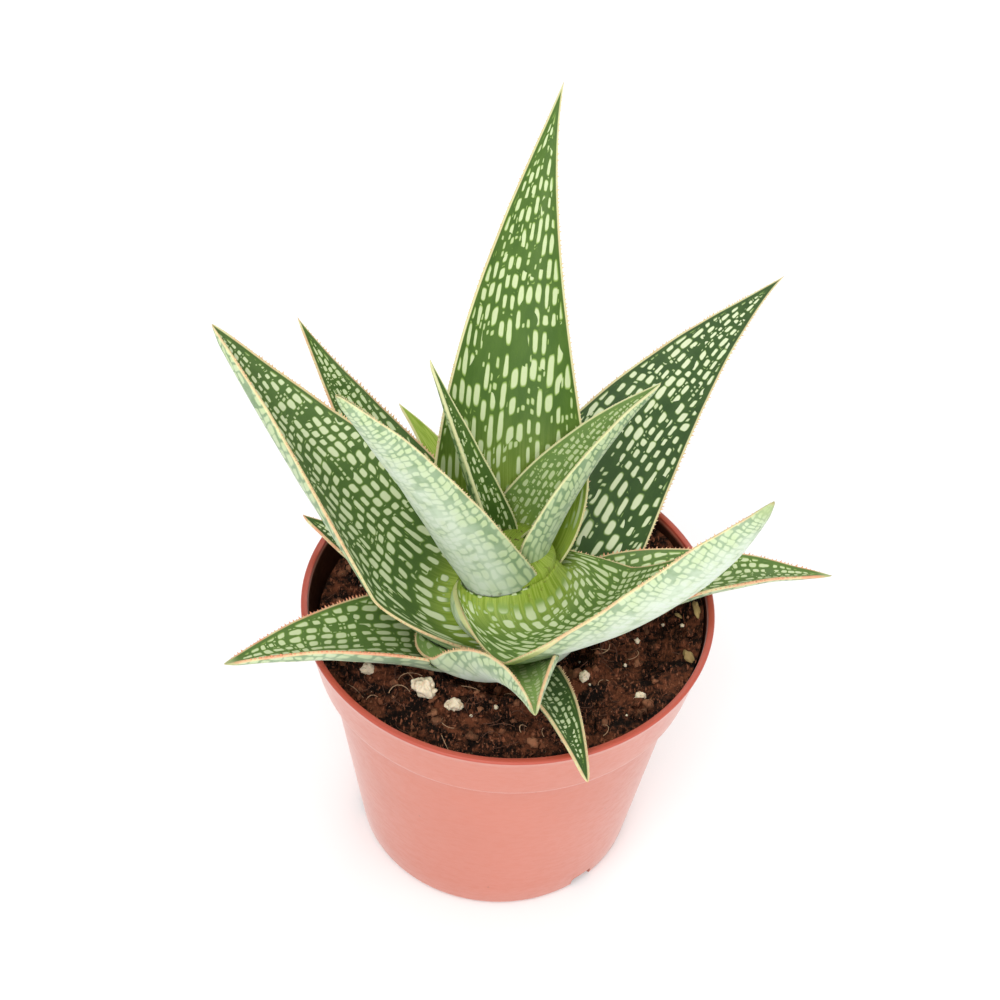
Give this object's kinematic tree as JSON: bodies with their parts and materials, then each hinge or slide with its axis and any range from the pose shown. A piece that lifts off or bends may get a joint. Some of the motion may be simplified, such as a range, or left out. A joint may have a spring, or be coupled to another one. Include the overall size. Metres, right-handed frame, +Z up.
{
  "type": "potted live plant",
  "caption": "Young spotted aloe with pointed, toothed leaves in a rosette, growing in peat in a tapered round plastic nursery pot with a collar and drain slots.",
  "frame": {"origin": "centre of the pot's underside, on the surface the pot stands on", "axes": "+Z up along the pot's axis, -Y towards the side that the low front leaf and the drooping front leaf point to, +X to the right of someone facing that side"},
  "size_m": [0.1255, 0.126, 0.1523],
  "materials": {
    "pot": "satin",
    "soil": "matte",
    "leaf": "satin",
    "stem": "satin",
    "perlite": "matte"
  },
  "bodies": {
    "root": {"pot": "pot", "potting_soil": "soil", "stem": "stem", "leaf_tall_back": "leaf", "leaf_right_back": "leaf", "leaf_left_broad": "leaf", "leaf_left_back": "leaf", "leaf_left_inner": "leaf", "leaf_heart_left": "leaf", "leaf_heart_right": "leaf", "leaf_right_front": "leaf", "leaf_right_low": "leaf", "leaf_left_low": "leaf", "leaf_front_low": "leaf", "leaf_front_drooping": "leaf", "leaf_left_back_low": "leaf", "leaf_back_slender": "leaf", "leaf_heart_bud": "leaf", "perlite_1": "perlite", "perlite_2": "perlite", "perlite_3": "perlite", "perlite_4": "perlite", "perlite_5": "perlite"}
  },
  "joints": []
}
